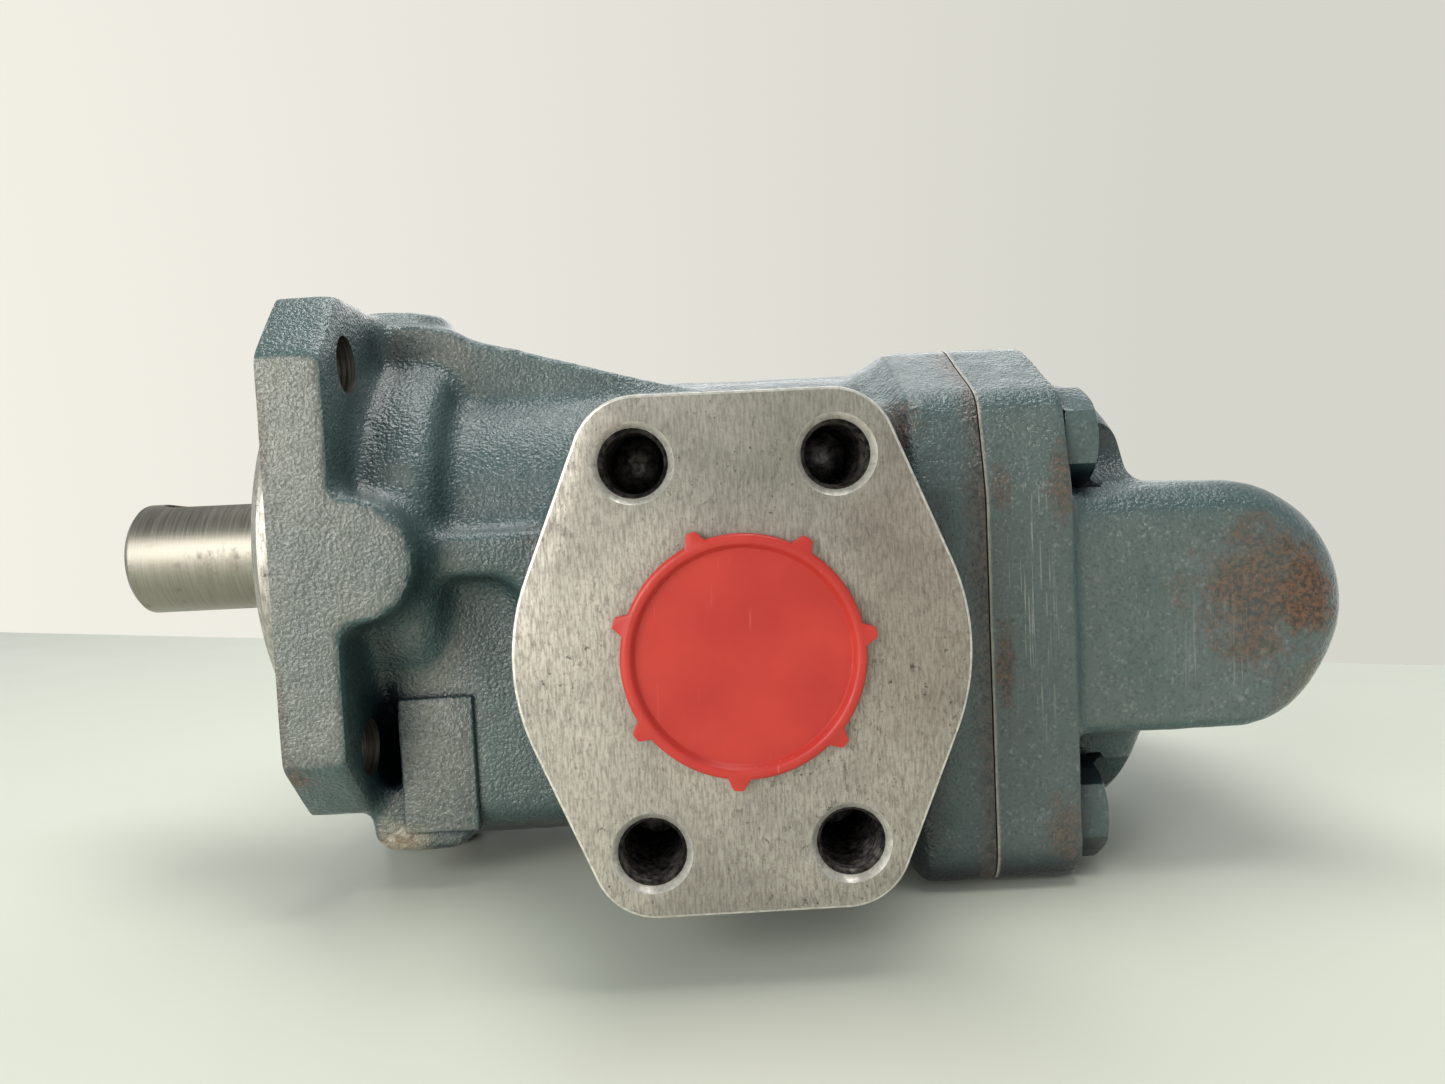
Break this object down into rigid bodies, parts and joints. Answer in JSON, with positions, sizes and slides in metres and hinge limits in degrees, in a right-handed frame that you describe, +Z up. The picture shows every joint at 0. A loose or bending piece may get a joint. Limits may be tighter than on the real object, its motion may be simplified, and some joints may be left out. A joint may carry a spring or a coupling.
{
  "type": "hydraulic motor",
  "caption": "Cast iron hydraulic gear motor with a square flange, keyed shaft, flanged side ports with red caps, and a relief valve across its rear cover.",
  "frame": {"origin": "middle of the lowest plane, on the upright plane of symmetry of the shafts, halfway between the shaft's tip and the rear end of the valve housing", "axes": "+X from the output shaft towards the rear cover, parallel to the shaft; +Z up, from the driven gear to the drive gear; port A faces -Y and port B faces +Y"},
  "size_m": [0.244, 0.1672, 0.1162],
  "materials": {
    "body_paint": "grey-green semi-gloss paint over a rough casting, bare ground metal on the port and mounting faces",
    "cover_paint": "grey-green semi-gloss paint over a rough casting, rust in places",
    "screw_paint": "grey-green paint over steel",
    "rubber": "matt black",
    "steel": "machined",
    "shaft_steel": "ground and polished",
    "block_aluminium": "machined",
    "bush_bronze": "plain bearing bronze",
    "bearing_steel": "polished",
    "cage_brass": "pressed brass",
    "carrier_aluminium": "turned",
    "plug_steel": "zinc plated",
    "cap_red": "satin red plastic"
  },
  "bodies": {
    "motor_body": {"housing": "body_paint", "rear_cover": "cover_paint", "cover_screw_1": "screw_paint", "cover_screw_2": "screw_paint", "cover_screw_3": "screw_paint", "cover_screw_4": "screw_paint", "cover_seal": "rubber", "dowel_pin_1": "steel", "dowel_pin_2": "steel", "front_bearing_block": "block_aluminium", "rear_bearing_block": "block_aluminium", "front_drive_bush": "bush_bronze", "front_driven_bush": "bush_bronze", "rear_drive_bush": "bush_bronze", "rear_driven_bush": "bush_bronze", "front_block_seal": "rubber", "rear_block_seal": "rubber", "bearing_outer_ring": "bearing_steel", "carrier_circlip": "steel", "seal_carrier": "carrier_aluminium", "carrier_o_ring": "rubber", "shaft_seal": "rubber", "garter_spring": "steel", "drain_plug": "plug_steel", "relief_seat": "steel", "relief_spring": "steel", "relief_spring_seat": "steel", "relief_bonnet": "plug_steel", "relief_bonnet_seal": "carrier_aluminium", "relief_adjuster": "steel", "relief_lock_nut": "plug_steel", "relief_cap_nut": "plug_steel"},
    "drive_shaft": {"drive_gear_shaft": "shaft_steel", "bearing_inner_ring": "bearing_steel", "shaft_circlip": "steel"},
    "driven_shaft": {"driven_gear_shaft": "shaft_steel"},
    "ball_cage": {"bearing_cage": "cage_brass", "bearing_ball_1": "bearing_steel", "bearing_ball_2": "bearing_steel", "bearing_ball_3": "bearing_steel", "bearing_ball_4": "bearing_steel", "bearing_ball_5": "bearing_steel", "bearing_ball_6": "bearing_steel", "bearing_ball_7": "bearing_steel", "bearing_ball_8": "bearing_steel"},
    "poppet": {"relief_poppet": "steel"},
    "cap_a": {"port_cap_a": "cap_red"},
    "cap_b": {"port_cap_b": "cap_red"}
  },
  "joints": [
    {"name": "shaft_spin", "type": "hinge", "parent": "motor_body", "child": "drive_shaft", "pos_m": [-0.076, 0, 0.066], "axis": [1, 0, 0], "continuous": true},
    {"name": "driven_spin", "type": "hinge", "parent": "motor_body", "child": "driven_shaft", "pos_m": [-0.076, 0, 0.035], "axis": [1, 0, 0], "continuous": true},
    {"name": "cage_spin", "type": "hinge", "parent": "motor_body", "child": "ball_cage", "pos_m": [-0.076, 0, 0.066], "axis": [1, 0, 0], "continuous": true},
    {"name": "poppet_lift", "type": "slide", "parent": "motor_body", "child": "poppet", "axis": [0, 1, 0], "range_m": [0, 0.003], "stiffness_N_per_m": 30000, "springref_m": -0.001, "deforming": ["relief_spring"]},
    {"name": "cap_a_pull", "type": "slide", "parent": "motor_body", "child": "cap_a", "axis": [0, -1, 0], "range_m": [0, 0.02]},
    {"name": "cap_b_pull", "type": "slide", "parent": "motor_body", "child": "cap_b", "axis": [0, 1, 0], "range_m": [0, 0.02]}
  ],
  "couplings": [
    {"joint": "driven_spin", "follows": "shaft_spin", "ratio": -1},
    {"joint": "cage_spin", "follows": "shaft_spin", "ratio": 0.368}
  ]
}
